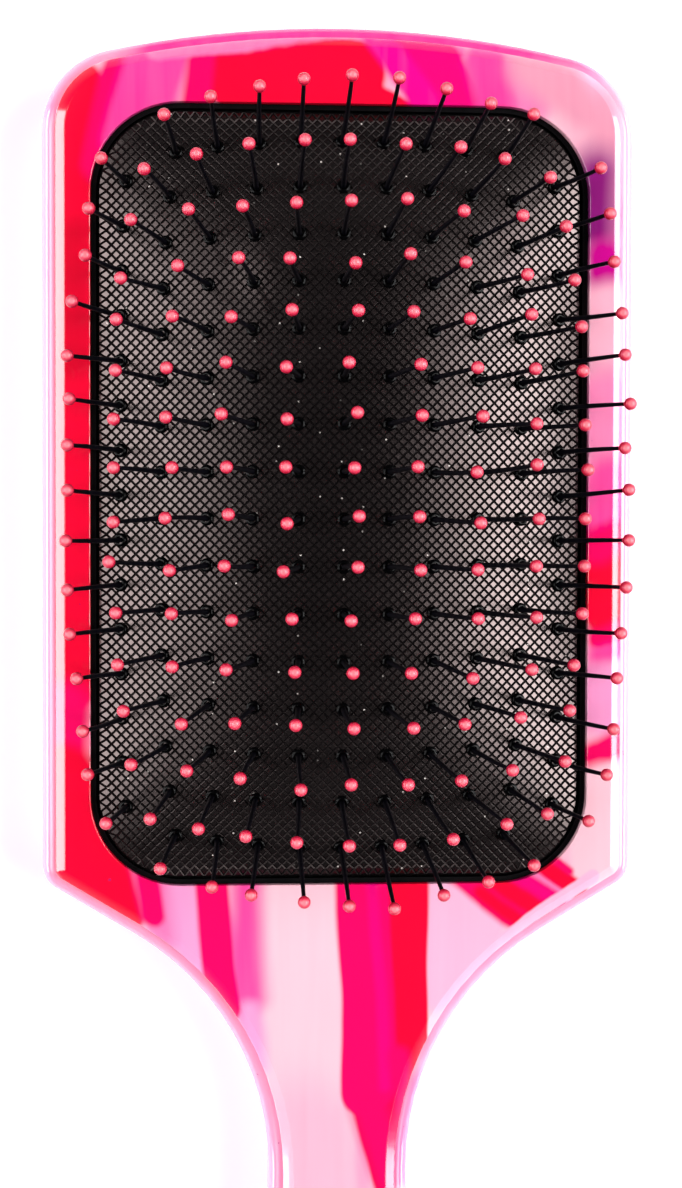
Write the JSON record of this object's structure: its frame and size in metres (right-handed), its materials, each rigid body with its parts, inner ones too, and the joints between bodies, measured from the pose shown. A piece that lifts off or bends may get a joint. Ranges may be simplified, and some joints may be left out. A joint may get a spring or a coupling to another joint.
{
  "type": "paddle hair brush",
  "caption": "Wide flat paddle brush with a marbled plastic body, a knurled black rubber air cushion and rocking ball-tipped pins.",
  "frame": {"origin": "middle of the flat back, halfway along the length of the brush", "axes": "+X across the head, +Y from the handle to the head, +Z the way the pins point"},
  "size_m": [0.085, 0.255, 0.0389],
  "materials": {
    "marbled_shell": "glossy marbled red, pink and white",
    "tray_plastic": "matte black",
    "ring_plastic": "smooth black",
    "cushion_rubber": "charcoal with a fine diamond knurl",
    "pin_nylon": "glossy black",
    "tip_coral": "satin coral pink"
  },
  "bodies": {
    "paddle": {"back_shell": "marbled_shell", "front_shell": "marbled_shell", "cushion_tray": "tray_plastic", "retaining_ring": "ring_plastic"},
    "cushion": {"cushion_pad": "cushion_rubber"},
    "column_01": {"pin_column_01": "pin_nylon", "tip_column_01": "tip_coral"},
    "column_02": {"pin_column_02": "pin_nylon", "tip_column_02": "tip_coral"},
    "column_03": {"pin_column_03": "pin_nylon", "tip_column_03": "tip_coral"},
    "column_04": {"pin_column_04": "pin_nylon", "tip_column_04": "tip_coral"},
    "column_05": {"pin_column_05": "pin_nylon", "tip_column_05": "tip_coral"},
    "column_06": {"pin_column_06": "pin_nylon", "tip_column_06": "tip_coral"},
    "column_07": {"pin_column_07": "pin_nylon", "tip_column_07": "tip_coral"},
    "column_08": {"pin_column_08": "pin_nylon", "tip_column_08": "tip_coral"},
    "column_09": {"pin_column_09": "pin_nylon", "tip_column_09": "tip_coral"},
    "column_10": {"pin_column_10": "pin_nylon", "tip_column_10": "tip_coral"},
    "column_11": {"pin_column_11": "pin_nylon", "tip_column_11": "tip_coral"}
  },
  "joints": [
    {"name": "cushion_press", "type": "slide", "parent": "paddle", "child": "cushion", "axis": [0, 0, -1], "range_m": [0, 0.003], "stiffness_N_per_m": 2000, "deforming": ["cushion_pad"]},
    {"name": "rock_column_01", "type": "hinge", "parent": "cushion", "child": "column_01", "pos_m": [-0.03102, 0.0605, 0.01388], "axis": [0, 1, 0], "range_deg": [-8, 8], "stiffness_Nm_per_rad": 0.2},
    {"name": "rock_column_02", "type": "hinge", "parent": "cushion", "child": "column_02", "pos_m": [-0.02493, 0.0605, 0.01556], "axis": [0, 1, 0], "range_deg": [-8, 8], "stiffness_Nm_per_rad": 0.2},
    {"name": "rock_column_03", "type": "hinge", "parent": "cushion", "child": "column_03", "pos_m": [-0.0187, 0.0605, 0.01694], "axis": [0, 1, 0], "range_deg": [-8, 8], "stiffness_Nm_per_rad": 0.2},
    {"name": "rock_column_04", "type": "hinge", "parent": "cushion", "child": "column_04", "pos_m": [-0.01247, 0.0605, 0.01791], "axis": [0, 1, 0], "range_deg": [-8, 8], "stiffness_Nm_per_rad": 0.2},
    {"name": "rock_column_05", "type": "hinge", "parent": "cushion", "child": "column_05", "pos_m": [-0.00623, 0.0605, 0.01848], "axis": [0, 1, 0], "range_deg": [-8, 8], "stiffness_Nm_per_rad": 0.2},
    {"name": "rock_column_06", "type": "hinge", "parent": "cushion", "child": "column_06", "pos_m": [0, 0.0605, 0.01867], "axis": [0, 1, 0], "range_deg": [-8, 8], "stiffness_Nm_per_rad": 0.2},
    {"name": "rock_column_07", "type": "hinge", "parent": "cushion", "child": "column_07", "pos_m": [0.00623, 0.0605, 0.01848], "axis": [0, 1, 0], "range_deg": [-8, 8], "stiffness_Nm_per_rad": 0.2},
    {"name": "rock_column_08", "type": "hinge", "parent": "cushion", "child": "column_08", "pos_m": [0.01247, 0.0605, 0.01791], "axis": [0, 1, 0], "range_deg": [-8, 8], "stiffness_Nm_per_rad": 0.2},
    {"name": "rock_column_09", "type": "hinge", "parent": "cushion", "child": "column_09", "pos_m": [0.0187, 0.0605, 0.01694], "axis": [0, 1, 0], "range_deg": [-8, 8], "stiffness_Nm_per_rad": 0.2},
    {"name": "rock_column_10", "type": "hinge", "parent": "cushion", "child": "column_10", "pos_m": [0.02493, 0.0605, 0.01556], "axis": [0, 1, 0], "range_deg": [-8, 8], "stiffness_Nm_per_rad": 0.2},
    {"name": "rock_column_11", "type": "hinge", "parent": "cushion", "child": "column_11", "pos_m": [0.03102, 0.0605, 0.01388], "axis": [0, 1, 0], "range_deg": [-8, 8], "stiffness_Nm_per_rad": 0.2}
  ]
}
